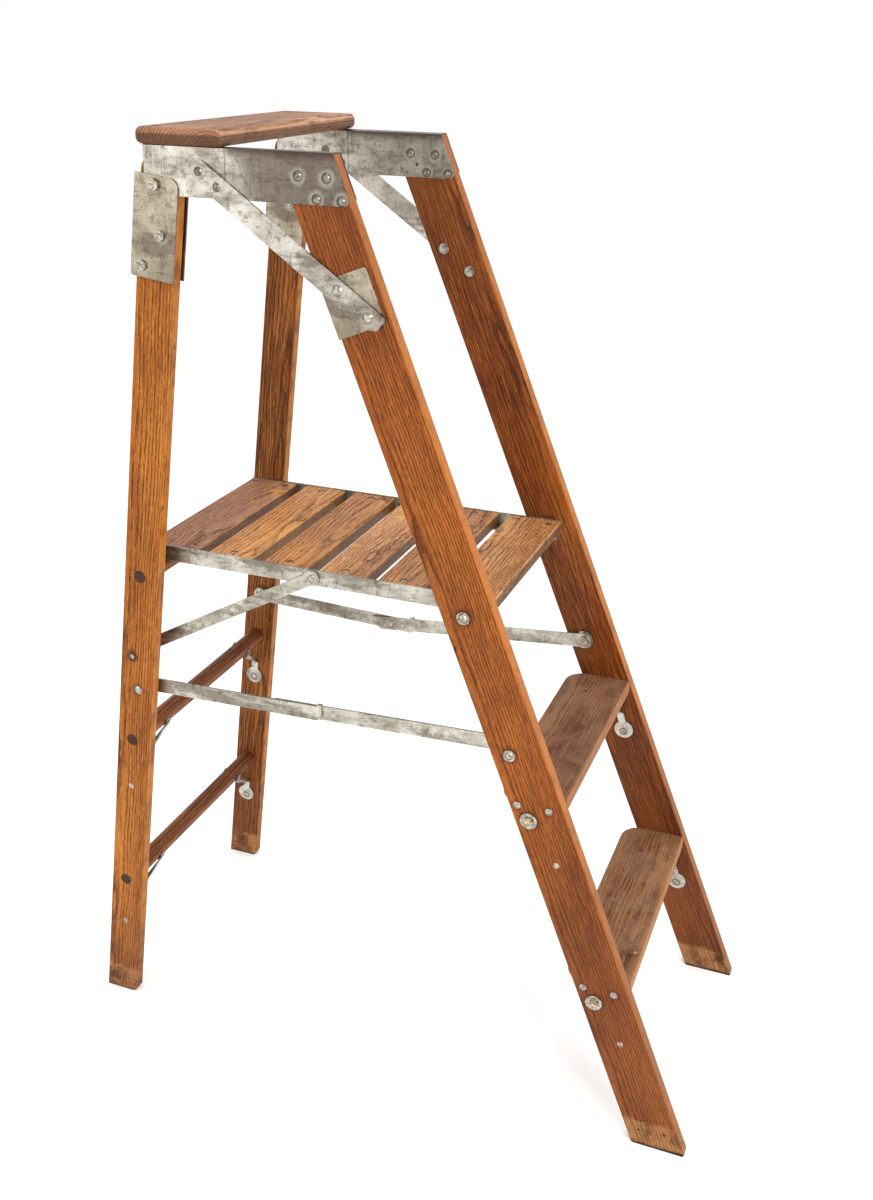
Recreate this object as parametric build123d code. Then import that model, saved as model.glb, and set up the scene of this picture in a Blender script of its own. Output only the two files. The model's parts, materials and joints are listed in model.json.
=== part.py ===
from build123d import *
import math
import os

# Folding platform step ladder: two oak steps, a slatted platform and a top board.
# Millimetres.  +Z is up, the climbing side faces -Y, and X runs across the ladder.
# The origin is on the floor, at the middle of the ladder's footprint.

# ---------------------------------------------------------------- overall sizes
half_depth = 548.0             # floor point of the stile's front edge and of the leg's rear edge
floor_half_width = 243.0       # outer face of a stile where it meets the floor
iron_half_width = 209.5        # the same face at the height of the hinge iron
iron_top = 1506.0              # top of the side irons
stile_slope = 0.405            # lean of the stiles, run over rise
leg_slope = 0.129              # lean of the rear legs, run over rise

# ---------------------------------------------------------------- timber
stile_width = 82.5
stile_thickness = 22.0
stile_arris = 3.0
stile_toe_clip = 4.0
leg_width = 62.0
leg_arris = 2.5
leg_toe_round = 11.0
leg_top_round = 25.0
leg_above_hinge = 41.0
step_depth = 110.0
step_thickness = 24.0
step_corner_round = 36.0
step_arris = 2.5
step_nose = 1.5                # before the stile's front edge
lower_step_top = 295.3
step_spacing = 304.8
rung_diameter = 31.0
tenon_diameter = 21.0
lower_rung_along = 259.0       # along the leg from the floor
middle_rung_along = 556.0
rung_from_rear = 28.5          # from the leg's rear edge
board_depth = 135.0
board_thickness = 23.0
board_overhang = 11.0          # past the outer face of each iron
board_rear_overhang = 7.0      # past the rear end of the irons
board_round = 9.0
board_corner_round = 10.0

# ---------------------------------------------------------------- sheet and bar metal
iron_thickness = 1.6
iron_height = 66.5
iron_past_hinge = 17.5         # rear end of the irons, behind the hinge bolt
iron_corner = 8.0
side_gap = 0.75                # each side of the leg inside the iron, and plate to iron
leg_plate_thickness = 2.2
leg_plate_width = 70.0
leg_plate_height = 143.0
leg_plate_above_hinge = 12.5
leg_plate_overlap = 6.0        # past the leg's rear edge
leg_plate_front_round = 15.0
leg_plate_rear_round = 5.0
brace_width = 31.0
brace_thickness = 3.0
brace_past_bolt = 21.0
brace_end_clip = 15.0
brace_plate_width = 73.3
brace_plate_height = 80.0
brace_plate_round = 5.0
brace_plate_wrap = 9.0         # lip behind the stile
brace_plate_drop = 227.8       # its lower edge, along the stile from the top
platform_iron_height = 26.3
platform_iron_flange = 25.0
platform_iron_thickness = 3.0
bar_thickness = 3.0
strut_width = 20.0
strut_eye = 26.0
spreader_width = 25.0
spreader_eye = 28.0
spreader_front_overlap = 37.0   # front link past the knee
spreader_rear_overlap = 48.0    # rear link past the knee
spreader_tab_length = 8.0      # stop tab at the tip of the rear link
spreader_tab_thickness = 2.2
strap_width = 15.0
strap_thickness = 2.5
bracket_disc = 17.0            # radius of the brackets' round feet
bracket_disc_rise = 4.0        # centre of the foot above its rivet
bracket_neck = 6.5             # radius where the foot meets the strap
step_bracket_lean = (9.0, 36.0)    # from the foot's rivet to its neck
rung_bracket_lean = (-4.0, 34.0)

# ---------------------------------------------------------------- platform
platform_top = 894.6
platform_side_gap = 21.25      # from the irons of the platform to the stiles
platform_past_rung = 11.5      # rear end of the platform, behind the top rung
platform_past_pivot = 30.6     # front end of the platform, before its pivot bolt
end_slat_width = 90.0
slat_width = 76.0
slat_count = 6
slat_thickness = 22.0
slat_arris = 2.0
slat_end_gap = 0.6

# ---------------------------------------------------------------- pivots and fasteners
hinge_from_rear = 27.0         # hinge bolt, from the leg's rear edge
hinge_drop = 52.5              # hinge bolt, below the top of the irons
platform_pivot_across = 49.0   # from the stile's front edge
platform_pivot_drop = 15.5     # below the top of the platform iron
spreader_pivot_across = 53.5
spreader_pivot_along = 744.0
spreader_rear_from_rear = 35.5
spreader_rear_along = 655.6
strut_foot_from_rear = 21.6
strut_foot_drop = 187.2        # below the top of the platform iron
strut_head_from_rear = 296.0   # from the rear end of the platform
spreader_knee_run = 371.5      # front bolt to knee, along the line between the bolts
left_knee_sag = 1.5
right_knee_sag = 21.0
spreader_spacer = 5.0          # stile's inner face to the outer link
link_gap = 0.4                 # between bars that turn beside each other
running_gap = 0.08             # radial, round a pivot
open_gap = 1.0                 # where a linkage is left open
rest_gap = 0.3                 # platform above the top rung
wall_gap = 0.03                # washer to the leaning wood
pivot_bolt = 8.0
pivot_tail = 11.0              # head of the platform bolt, inside the front slat
pocket_gap = 1.0               # round that head, and round the strut's rivet
pocket_depth = 6.0
small_bolt = 6.4
rivet = 6.0
screw = 4.5
tie_rod = 8.0
tie_rod_drop = 35.5            # below the top of the step
tie_rod_across = 60.0
step_screw_drop = 13.0
step_screws_across = (70.0, 23.7)
step_bracket_drop = 104.0
step_bracket_across = 41.5
step_bracket_reach = 140.0     # pad under the step, from the middle of the ladder
rung_bracket_drop = 94.0       # rivet below the rung, along the leg
rung_foot_forward = 2.0        # rivet before the rung's axis
rung_eye_reach = 145.0
rung_eye = 18.0                # round end riveted to the rung
rung_eye_lean = 25.0           # degrees that it faces below the level
pad_width = 20.0
pad_past_rivet = 9.0
pad_rivets_back = (9.0, 63.0)  # rivets of the pad, behind the stile's front edge

# ---------------------------------------------------------------- heads, nuts and washers
# domes are (radius, height), washers and nuts are (diameter, thickness)
iron_rivet_head = (6.2, 3.4)
iron_rivet_tail = (5.0, 1.6)
brace_rivet_head = (6.5, 3.4)
brace_rivet_tail = (5.0, 0.5)
brace_bolt_head = (8.4, 4.2)
brace_bolt_washer = (17.0, 1.8)
brace_bolt_nut = (11.5, 4.5)
brace_bolt_tail = 9.0
cup_washer = (6.0, 2.2)
cup_recess = (10.0, 1.2)
step_screw_tip = 24.0          # past the stile's inner face
tie_rod_tail = 7.0
tie_rod_washer = (27.0, 2.2)
tie_rod_nut = (14.0, 3.8)
tie_rod_play = 0.6
bracket_rivet_head = (4.8, 0.8)
leg_rivet_head = (4.8, 0.7)
bracket_rivet_tail = (5.2, 1.5)
pad_rivet_tail = (10.0, 1.6)
rung_rivet_head = (10.0, 1.5)
rung_rivet_tail = (9.2, 2.3)
pivot_head = (8.0, 5.0)
pivot_washer = (20.0, 1.7)
pivot_bush = 16.0
pivot_tail_length = 2.4
spreader_head = (6.5, 3.6)
spreader_washer = (19.0, 1.6)
spreader_spacing_washer = 33.0
spreader_tail = (15.0, 2.8)
hinge_head = (15.0, 5.0)
hinge_nut = (13.0, 5.0)
leg_plate_head = (14.0, 4.6)
leg_plate_nut = (12.0, 4.6)
leg_plate_spacer = 18.0
leg_pivot_head = (7.5, 2.6)
leg_pivot_washer = 22.0
strut_rivet_head = (5.5, 2.6)
strut_rivet_tail = (5.0, 1.5)
strut_bush = 16.0
strut_bolt_head = (13.0, 2.4)
knee_head = (5.6, 2.2)
knee_tail = (5.6, 2.0)
rear_link_washer = (26.0, 2.2)
rear_link_head = (8.5, 4.0)
board_screw_inset = 20.0       # from the board's front and rear edges
board_screw_length = 28.5
board_screw_sink = 0.8         # top of the head, below the board
slat_screw_inset = 20.0        # from the outer face of the platform iron
slat_screw_spread = 29.0       # each side of the middle of an end slat
slat_screw_sink = 0.7
nail_hole = 4.0
nail_depth = 2.5

# ---------------------------------------------------------------- derived directions
flare = (floor_half_width - iron_half_width) / (iron_top - iron_height / 2)
tilt = math.degrees(math.atan(flare))
stile_angle = math.atan(stile_slope)
leg_angle = math.atan(leg_slope)
stile_run = stile_width / math.cos(stile_angle)
stile_top_along = iron_top / math.cos(stile_angle)
leg_thickness = stile_thickness - 2 * side_gap
nodes = {}


def stile_point(across, along):
    """(y, z) of a point on a stile: across from its front edge, along from the floor."""
    y = -half_depth + across * math.cos(stile_angle) + along * math.sin(stile_angle)
    return y, along * math.cos(stile_angle) - across * math.sin(stile_angle)


def leg_point(from_rear, along):
    """(y, z) of a point on a leg: from_rear from its rear edge, along from the floor."""
    y = half_depth - from_rear * math.cos(leg_angle) - along * math.sin(leg_angle)
    return y, along * math.cos(leg_angle) - from_rear * math.sin(leg_angle)


def stile_front(z):
    """y of the stile's front edge at height z."""
    return -half_depth + stile_slope * z


def side_x(depth, z):
    """x of the left side's sloping plane at height z, depth in from the outer face."""
    radians_tilt = math.radians(tilt)
    return -floor_half_width + depth / math.cos(radians_tilt) + z * math.tan(radians_tilt)


def clear_of_wall(wall_x, diameter):
    """x at which a washer of that diameter, square to X, clears the leaning wall."""
    return wall_x + diameter / 2 * flare + wall_gap


def outline(points):
    return make_face(Polyline(*points, close=True))


def slab(face, start, end):
    """Extrude a (y, z) outline across the side's thickness, from depth start to end."""
    return extrude(Plane.YZ.offset(start) * face, amount=end - start)


def on_left(part):
    """Carry a part from the side's own upright frame to the leaning left side."""
    return Pos(-floor_half_width, 0, 0) * Rot(0, tilt, 0) * part


def to_right(part):
    return mirror(part, about=Plane.YZ)


def rod(diameter, start, end, y, z):
    """Round bar along X from start to end."""
    middle = (start + end) / 2
    return Pos(middle, y, z) * Rot(0, 90, 0) * Cylinder(diameter / 2, abs(end - start))


def ring(outer, inner, start, end, y, z):
    return rod(outer, start, end, y, z) - rod(inner, start - 1, end + 1, y, z)


def hex_head(across_flats, start, end, y, z):
    """Hexagonal prism along X."""
    face = RegularPolygon(across_flats / 2, 6, major_radius=False)
    prism = extrude(face, amount=abs(end - start))
    return Pos(min(start, end), y, z) * Rot(0, 90, 0) * prism


def dome(radius, height, x, y, z, direction):
    """Spherical cap on a plane at x, bulging towards direction along X."""
    sphere_radius = (radius ** 2 + height ** 2) / (2 * height)
    half_angle = math.asin(radius / sphere_radius) / 2
    middle = (sphere_radius * math.sin(half_angle),
              height - sphere_radius + sphere_radius * math.cos(half_angle))
    base = Line((0, 0), (radius, 0))
    crown = ThreePointArc((radius, 0), middle, (0, height))
    axis = Line((0, height), (0, 0))
    cap = revolve(make_face([base, crown, axis]), Axis.Y, 360)
    return Pos(x, y, z) * Rot(0, 0, -90 * direction) * cap


def long_edges(part, shortest):
    return [edge for edge in part.edges() if edge.length > shortest]


def bar_outline(start, end, width, start_round, end_round):
    """Flat link in the (y, z) plane with round ends about two points."""
    along = Vector(end[0] - start[0], end[1] - start[1])
    unit = along.normalized()
    side = Vector(-unit.Y, unit.X) * (width / 2)
    first = Vector(*start)
    second = Vector(*end)
    face = outline([first + side, second + side, second - side, first - side])
    for point, radius in ((start, start_round), (end, end_round)):
        if radius > 0:
            face = face + Pos(point[0], point[1]) * Circle(radius)
    return face


def add_pair(name, left):
    nodes["left_" + name] = left
    nodes["right_" + name] = to_right(left)


def both_sides(parts):
    """The left-hand solids and their mirror images as one group of separate solids."""
    solids = [solid for part in parts for solid in part.solids()]
    mirrored = [solid for part in parts for solid in to_right(part).solids()]
    return Compound(solids + mirrored)


def along_stile(across, z):
    """Distance along the stile of the point at height z, across from the front edge."""
    return (z + across * math.sin(stile_angle)) / math.cos(stile_angle)


def along_leg(from_rear, z):
    """Distance along the leg of the point at height z, from_rear from its rear edge."""
    return (z + from_rear * math.sin(leg_angle)) / math.cos(leg_angle)


# reaches of the cutters: through the side, and across from outside the ladder's left side
side_through = (-12.0, 40.0)
left_through = (-floor_half_width - 60.0, -floor_half_width / 3)
floor_cut = Pos(0, 0, -50) * Box(2000, 2000, 100)
hinge_along = along_leg(hinge_from_rear, iron_top - hinge_drop)
hinge_y, hinge_z = leg_point(hinge_from_rear, hinge_along)
iron_rear_y = hinge_y + iron_past_hinge
pivot_z = platform_top - platform_pivot_drop
pivot_y = stile_point(platform_pivot_across, along_stile(platform_pivot_across, pivot_z))[0]
spread_y, spread_z = stile_point(spreader_pivot_across, spreader_pivot_along)
spread_rear_y, spread_rear_z = leg_point(spreader_rear_from_rear, spreader_rear_along)
strut_foot_z = platform_top - strut_foot_drop
strut_foot_y = leg_point(strut_foot_from_rear, along_leg(strut_foot_from_rear, strut_foot_z))[0]
inner_face = stile_thickness
platform_bottom = platform_top - platform_iron_height
platform_half_width = -side_x(inner_face, platform_top) - platform_side_gap
top_rung_z = platform_bottom - rest_gap - rung_diameter / 2
top_rung_y = leg_point(rung_from_rear, along_leg(rung_from_rear, top_rung_z))[0]
platform_rear_y = top_rung_y + platform_past_rung
platform_front_y = pivot_y - platform_past_pivot
slats_depth = 2 * end_slat_width + (slat_count - 2) * slat_width
slat_gap = (platform_rear_y - platform_front_y - slats_depth) / (slat_count - 1)
strut_head_y = platform_rear_y - strut_head_from_rear
strut_head_z = platform_bottom + platform_iron_height / 2
leg_outer = side_gap
leg_inner = side_gap + leg_thickness
plate_outer_back = -(iron_thickness + side_gap)
plate_inner_back = stile_thickness + iron_thickness + side_gap
brace_back = -iron_thickness

# fastener places near the top of the stile, as (across, along) from its top
iron_rivet_drops = ((59.0, 9.3), (20.5, 25.8), (44.5, 45.8), (11.0, 60.3))
iron_spare_drop = (54.8, 28.8)
spare_hole = 5.0
brace_bolt_drops = ((59.4, 165.1), (30.5, 212.5))
iron_rivet_places = [(across, stile_top_along - drop) for across, drop in iron_rivet_drops]
iron_spare_hole = (iron_spare_drop[0], stile_top_along - iron_spare_drop[1])
brace_bolt_places = [(across, stile_top_along - drop) for across, drop in brace_bolt_drops]
# nails near the feet, as (across, along) from the floor
foot_nail_places = ((62.0, 57.0), (22.0, 45.0))
leg_nail_places = ((18.9, 26.8), (45.1, 32.0))
# rivets of the brace on the iron, as (before the iron's rear end, below its top)
brace_head_places = ((87.8, 32.0), (115.8, 51.2))
brace_iron_rivets = [(iron_rear_y - before, iron_top - drop)
                     for before, drop in brace_head_places]
# bolts of the leg plates, as (from the leg's rear edge, below the hinge along the leg)
leg_plate_drops = ((40.4, 67.3), (13.0, 114.0))
leg_plate_bolts = [(across, hinge_along - drop) for across, drop in leg_plate_drops]

# the strut's two faces, across the ladder
strut_back = -platform_half_width - link_gap
strut_face = strut_back - bar_thickness

# ---------------------------------------------------------------- front frame
def make_stile():
    top = iron_top - iron_thickness
    clip = stile_toe_clip
    points = [
        (-half_depth + stile_run, 0),
        (-half_depth + clip, 0),
        (stile_front(clip), clip),
        (stile_front(top), top),
        (stile_front(top) + stile_run, top),
    ]
    stile = slab(outline(points), 0, stile_thickness)
    stile = fillet(long_edges(stile, 1000), stile_arris)
    holes = [rod(small_bolt, *side_through, *stile_point(*place)) for place in brace_bolt_places]
    holes += [rod(rivet, *side_through, *stile_point(*place)) for place in iron_rivet_places]
    nails = [rod(nail_hole, -1, nail_depth, *stile_point(*place)) for place in foot_nail_places]
    crosswise = [(pivot_bolt, pivot_y, pivot_z), (pivot_bolt, spread_y, spread_z)]
    for top_z in (lower_step_top, upper_step_top):
        along = along_stile(tie_rod_across, top_z - tie_rod_drop)
        crosswise.append((tie_rod, *stile_point(tie_rod_across, along)))
        for across in step_screws_across:
            along = along_stile(across, top_z - step_screw_drop)
            holes.append(rod(screw, *side_through, *stile_point(across, along)))
        along = along_stile(step_bracket_across, top_z - step_bracket_drop)
        holes.append(rod(rivet, *side_through, *stile_point(step_bracket_across, along)))
    for cutter in holes + nails:
        stile = stile - cutter
    stile = on_left(stile) - floor_cut
    for diameter, y, z in crosswise:
        stile = stile - rod(diameter, *left_through, y, z)
    return stile


def iron_outline():
    bottom = iron_top - iron_height
    points = [
        (iron_rear_y, bottom),
        (stile_front(bottom), bottom),
        (stile_front(iron_top), iron_top),
        (iron_rear_y, iron_top),
    ]
    face = outline(points)
    corners = face.vertices().sort_by(Axis.Y)[:2]
    lower_front = corners.sort_by(Axis.X)[0]
    return fillet(lower_front, iron_corner)


def make_iron():
    flange = iron_outline()
    inner_end = stile_thickness + iron_thickness
    web_front = stile_front(iron_top)
    web_points = [
        (web_front - iron_thickness * stile_slope, iron_top - iron_thickness),
        (iron_rear_y, iron_top - iron_thickness),
        (iron_rear_y, iron_top),
        (web_front, iron_top),
    ]
    iron = slab(flange, -iron_thickness, 0) + slab(flange, stile_thickness, inner_end)
    iron = iron + slab(outline(web_points), -iron_thickness, inner_end)
    bends = [edge for edge in long_edges(iron, 200)
             if abs(edge.center().Z - iron_top) < 0.1]
    iron = fillet(bends, iron_thickness * 0.9)
    for place in iron_rivet_places:
        iron = iron - rod(rivet, *side_through, *stile_point(*place))
    iron = iron - rod(spare_hole, stile_thickness - 1, side_through[1],
                      *stile_point(*iron_spare_hole))
    for y, z in brace_iron_rivets:
        iron = iron - rod(rivet, side_through[0], 3, y, z)
    iron = on_left(iron)
    for y in board_screw_ys:
        iron = iron - Pos(-board_screw_x, y, iron_top) * Cylinder(screw / 2, 20)
    hole = pivot_bolt + 2 * running_gap
    return iron - rod(hole, *left_through, hinge_y, hinge_z)


def make_brace():
    first = Vector(*brace_iron_rivets[0])
    lower = stile_point(*brace_bolt_places[1])
    unit = (Vector(*lower) - first).normalized()
    end = Vector(*lower) + unit * brace_past_bolt
    side = Vector(-unit.Y, unit.X) * (brace_width / 2)
    points = [first + side, end + side - unit * brace_end_clip, end + side * 0.35, end - side, first - side]
    face = outline(points) + Pos(first.X, first.Y) * Circle(brace_width / 2)
    brace = slab(face, brace_back - brace_thickness, brace_back)
    for y, z in brace_iron_rivets:
        brace = brace - rod(rivet, side_through[0], 3, y, z)
    for place in brace_bolt_places:
        brace = brace - rod(small_bolt, side_through[0], 3, *stile_point(*place))
    return on_left(brace)


def make_brace_plate():
    start = stile_top_along - brace_plate_drop
    end = start + brace_plate_height
    front = stile_width - brace_plate_width
    corners = ((front, start), (front, end), (stile_width + iron_thickness, end),
               (stile_width + iron_thickness, start))
    face = outline([stile_point(*corner) for corner in corners])
    face = fillet(face.vertices().sort_by(Axis.X)[:2], brace_plate_round)
    plate = slab(face, -iron_thickness, 0)
    wrap_corners = ((stile_width, start), (stile_width, end),
                    (stile_width + iron_thickness, end), (stile_width + iron_thickness, start))
    wrap = slab(outline([stile_point(*corner) for corner in wrap_corners]), -iron_thickness,
                brace_plate_wrap)
    plate = plate + wrap
    for place in brace_bolt_places:
        plate = plate - rod(small_bolt, side_through[0], 3, *stile_point(*place))
    return on_left(plate)


def make_board():
    width = 2 * board_half_width
    board = Pos(0, (board_front_y + board_rear_y) / 2, iron_top + board_thickness / 2) \
        * Box(width, board_depth, board_thickness)
    board = fillet(board.edges().filter_by(Axis.Z), board_corner_round)
    rims = [edge for edge in board.edges()
            if abs(edge.center().Z - iron_top - board_thickness / 2) > board_thickness / 2 - 0.1]
    board = fillet(rims, board_round)
    for x, y in board_screw_places:
        board = board - Pos(x, y, iron_top + board_thickness / 2) * Cylinder(screw / 2, 40)
        head = Pos(x, y, iron_top + board_thickness - 1.5) * Cone(screw / 2, 4.6, 3.0)
        board = board - head
    return board


def board_screws():
    screws = []
    for x, y in board_screw_places:
        top = iron_top + board_thickness
        body = Pos(x, y, top - board_screw_length / 2 - 0.75) \
            * Cylinder(screw / 2, board_screw_length - 1.5)
        head = Pos(x, y, top - board_screw_sink - 1.1) * Cone(screw / 2, 3.7, 2.2)
        screws.append(body + head)
    return Compound([solid for item in screws for solid in item.solids()])


def dome_rivet(depth_out, depth_in, y, z, head, tail):
    """Rivet in the side's frame: a domed head outside and a flatter one inside."""
    shank = rod(rivet, depth_out, depth_in, y, z)
    return shank + dome(*head, depth_out, y, z, -1) + dome(*tail, depth_in, y, z, 1)


def iron_rivets():
    inner_end = stile_thickness + iron_thickness
    rivets = []
    for place in iron_rivet_places:
        y, z = stile_point(*place)
        rivets.append(on_left(dome_rivet(-iron_thickness, inner_end, y, z, iron_rivet_head,
                                         iron_rivet_tail)))
    for y, z in brace_iron_rivets:
        start = brace_back - brace_thickness
        rivets.append(on_left(dome_rivet(start, 0, y, z, brace_rivet_head, brace_rivet_tail)))
    return both_sides(rivets)


def brace_bolts():
    """Hexagon bolts through brace, plate and stile with a washer and nut inside."""
    bolts = []
    start = brace_back - brace_thickness
    for place in brace_bolt_places:
        y, z = stile_point(*place)
        bolt = rod(small_bolt, start, stile_thickness + brace_bolt_tail, y, z)
        bolt = bolt + dome(*brace_bolt_head, start, y, z, -1)
        washer_end = stile_thickness + brace_bolt_washer[1]
        bolt = bolt + rod(brace_bolt_washer[0], stile_thickness, washer_end, y, z)
        bolt = bolt + hex_head(brace_bolt_nut[0], washer_end, washer_end + brace_bolt_nut[1], y, z)
        bolts.append(on_left(bolt))
    return both_sides(bolts)


def make_step(top_z):
    front_y = stile_front(top_z) - step_nose
    rear_y = front_y + step_depth
    bottom_z = top_z - step_thickness
    half_top = -side_x(inner_face, top_z)
    half_bottom = -side_x(inner_face, bottom_z)
    points = [(-half_bottom, bottom_z), (half_bottom, bottom_z), (half_top, top_z),
              (-half_top, top_z)]
    step = extrude(Plane.XZ.offset(-front_y) * outline(points), amount=-step_depth)
    uprights = [edge for edge in step.edges()
                if abs(edge.center().Y - rear_y) < 1 and edge.length < step_thickness + 2]
    step = fillet(uprights, step_corner_round)
    rims = [edge for edge in long_edges(step, 300) if edge.center().Y < front_y + 1]
    rims += [edge for edge in step.edges().filter_by(Axis.X) if edge.center().Y > rear_y - 1]
    step = fillet(rims, step_arris)
    for y in step_rivet_ys(top_z):
        for x in (-step_bracket_reach, step_bracket_reach):
            step = step - Pos(x, y, top_z) * Cylinder(rivet / 2, 80)
    for across in step_screws_across:
        along = along_stile(across, top_z - step_screw_drop)
        hole = on_left(rod(screw, 0, stile_thickness + step_screw_tip + 2,
                           *stile_point(across, along)))
        step = step - hole - to_right(hole)
    return step


def step_rivet_ys(top_z):
    front_y = stile_front(top_z)
    return front_y + pad_rivets_back[0], front_y + pad_rivets_back[1]


def step_screws():
    """Cup-washer screws through the stiles into the ends of the steps."""
    screws = []
    for top_z in (lower_step_top, upper_step_top):
        for across in step_screws_across:
            y, z = stile_point(across, along_stile(across, top_z - step_screw_drop))
            recess = rod(cup_recess[0] / 2, -cup_washer[1] - 1, -cup_recess[1], y, z)
            cup = dome(*cup_washer, 0, y, z, -1) - recess
            shank = rod(screw, -cup_recess[1] - 0.2, stile_thickness + step_screw_tip, y, z)
            screws.append(on_left(shank + cup))
    return both_sides(screws)


def tie_rods():
    rods = []
    for top_z in (lower_step_top, upper_step_top):
        along = along_stile(tie_rod_across, top_z - tie_rod_drop)
        y, z = stile_point(tie_rod_across, along)
        end = -side_x(-tie_rod_tail, z)
        rods.append(rod(tie_rod, -end, end, y, z))
    return Compound([solid for item in rods for solid in item.solids()])


def tie_rod_nuts():
    """A broad washer and a round nut on each end of the tie rods."""
    nuts = []
    for top_z in (lower_step_top, upper_step_top):
        along = along_stile(tie_rod_across, top_z - tie_rod_drop)
        y, z = stile_point(tie_rod_across, along)
        bore = tie_rod + tie_rod_play
        seat = -tie_rod_washer[1]
        washer = ring(tie_rod_washer[0], bore, seat, 0, y, z)
        nut = ring(tie_rod_nut[0], bore, seat - tie_rod_nut[1], seat, y, z)
        nuts.append(on_left(washer + nut))
    return both_sides(nuts)


def twisted_strap(start, start_width, end, end_width):
    """Ruled strap whose flat turns a quarter turn; both ends are (centre, width axis, normal)."""
    faces = []
    for (centre, across, normal), width in ((start, start_width), (end, end_width)):
        half = Vector(*across).normalized() * (width / 2)
        thick = Vector(*normal).normalized() * (strap_thickness / 2)
        middle = Vector(*centre)
        corners = [middle + half + thick, middle - half + thick, middle - half - thick,
                   middle + half - thick]
        faces.append(make_face(Polyline(*corners, close=True)))
    return loft(faces, ruled=True)


def bracket_foot(rivet_y, rivet_z, head):
    """Drop-shaped foot: a disc round the rivet that narrows to a neck."""
    disc = (rivet_y, rivet_z + bracket_disc_rise)
    return bar_outline(disc, head, 2 * bracket_neck, bracket_disc, bracket_neck)


def step_brackets(top_z):
    """Pad riveted under the step, a strap turning downwards, and a drop-shaped foot."""
    underside = top_z - step_thickness
    pad_ys = step_rivet_ys(top_z)
    middle_y = (pad_ys[0] + pad_ys[1]) / 2
    pad = Pos(-step_bracket_reach, middle_y, underside - strap_thickness / 2) \
        * Box(pad_width, pad_ys[1] - pad_ys[0] + 2 * pad_past_rivet, strap_thickness)
    pad = fillet(pad.edges().filter_by(Axis.Z), pad_width / 2 - 2)
    along = along_stile(step_bracket_across, top_z - step_bracket_drop)
    foot_y, foot_z = stile_point(step_bracket_across, along)
    head = (foot_y + step_bracket_lean[0], foot_z + step_bracket_lean[1])
    foot = on_left(slab(bracket_foot(foot_y, foot_z, head), inner_face,
                        inner_face + strap_thickness))
    strap_y = pad_ys[0] + 14
    start = ((-step_bracket_reach - 8, strap_y, underside - strap_thickness / 2 - 0.6),
             (0, 1, 0), (-0.4, 0, 1))
    end = ((side_x(inner_face + strap_thickness / 2 + 0.1, head[1]), head[0], head[1]),
           (0, 1, 0), (-1, 0, 0))
    bracket = pad + foot + twisted_strap(start, strap_width, end, 2 * bracket_neck)
    for y in pad_ys:
        bracket = bracket - Pos(-step_bracket_reach, y, underside) * Cylinder(rivet / 2, 40)
    hole = rod(rivet, 0, side_through[1], foot_y, foot_z)
    return both_sides([bracket - on_left(hole)])


def step_bracket_rivets():
    rivets = []
    for top_z in (lower_step_top, upper_step_top):
        for y in step_rivet_ys(top_z):
            low = top_z - step_thickness - strap_thickness
            shank = Pos(-step_bracket_reach, y, (top_z + low) / 2 + 0.2) \
                * Cylinder(rivet / 2, top_z - low + 0.4)
            tail = Pos(-step_bracket_reach, y, low - pad_rivet_tail[1] / 2) \
                * Cylinder(pad_rivet_tail[0] / 2, pad_rivet_tail[1])
            rivets.append(shank + tail)
        along = along_stile(step_bracket_across, top_z - step_bracket_drop)
        y, z = stile_point(step_bracket_across, along)
        inside = inner_face + strap_thickness
        rivets.append(on_left(dome_rivet(0, inside, y, z, bracket_rivet_head,
                                         bracket_rivet_tail)))
    return both_sides(rivets)


def platform_bolts():
    """Pivot bolt fixed in each stile, with a domed head outside and a long bush inside."""
    head_x = side_x(0, pivot_z)
    wall_x = side_x(inner_face, pivot_z)
    iron_x = -platform_half_width
    tail_x = iron_x + platform_iron_thickness + link_gap
    end_x = tail_x + pivot_tail_length
    under_head = head_x - 0.3 - pivot_washer[1]
    bolt = rod(pivot_bolt, head_x - 1.5, end_x, pivot_y, pivot_z)
    bolt = bolt + rod(pivot_washer[0], under_head, head_x - 0.3, pivot_y, pivot_z)
    bolt = bolt + dome(*pivot_head, under_head, pivot_y, pivot_z, -1)
    bolt = bolt + rod(pivot_tail, tail_x, end_x, pivot_y, pivot_z)
    bush = ring(pivot_bush, pivot_bolt, clear_of_wall(wall_x, pivot_bush), iron_x - link_gap,
                pivot_y, pivot_z)
    return both_sides([bolt, bush])


def spreader_front_bolts():
    """Pivot bolt in each stile for the spreader, with a wide spacing washer inside."""
    head_x = side_x(0, spread_z)
    wall_x = side_x(inner_face, spread_z)
    washer_x = clear_of_wall(wall_x, spreader_spacing_washer)
    washer = ring(spreader_spacing_washer, pivot_bolt, washer_x, link_front_out - link_gap,
                  spread_y, spread_z)
    tail_x = link_front_in + link_gap
    end_x = tail_x + spreader_tail[1]
    under_head = head_x - 0.3 - spreader_washer[1]
    bolt = rod(pivot_bolt, head_x - 1.5, end_x, spread_y, spread_z)
    bolt = bolt + rod(spreader_washer[0], under_head, head_x - 0.3, spread_y, spread_z)
    bolt = bolt + dome(*spreader_head, under_head, spread_y, spread_z, -1)
    bolt = bolt + rod(spreader_tail[0], tail_x, end_x, spread_y, spread_z)
    return both_sides([bolt, washer])


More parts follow.
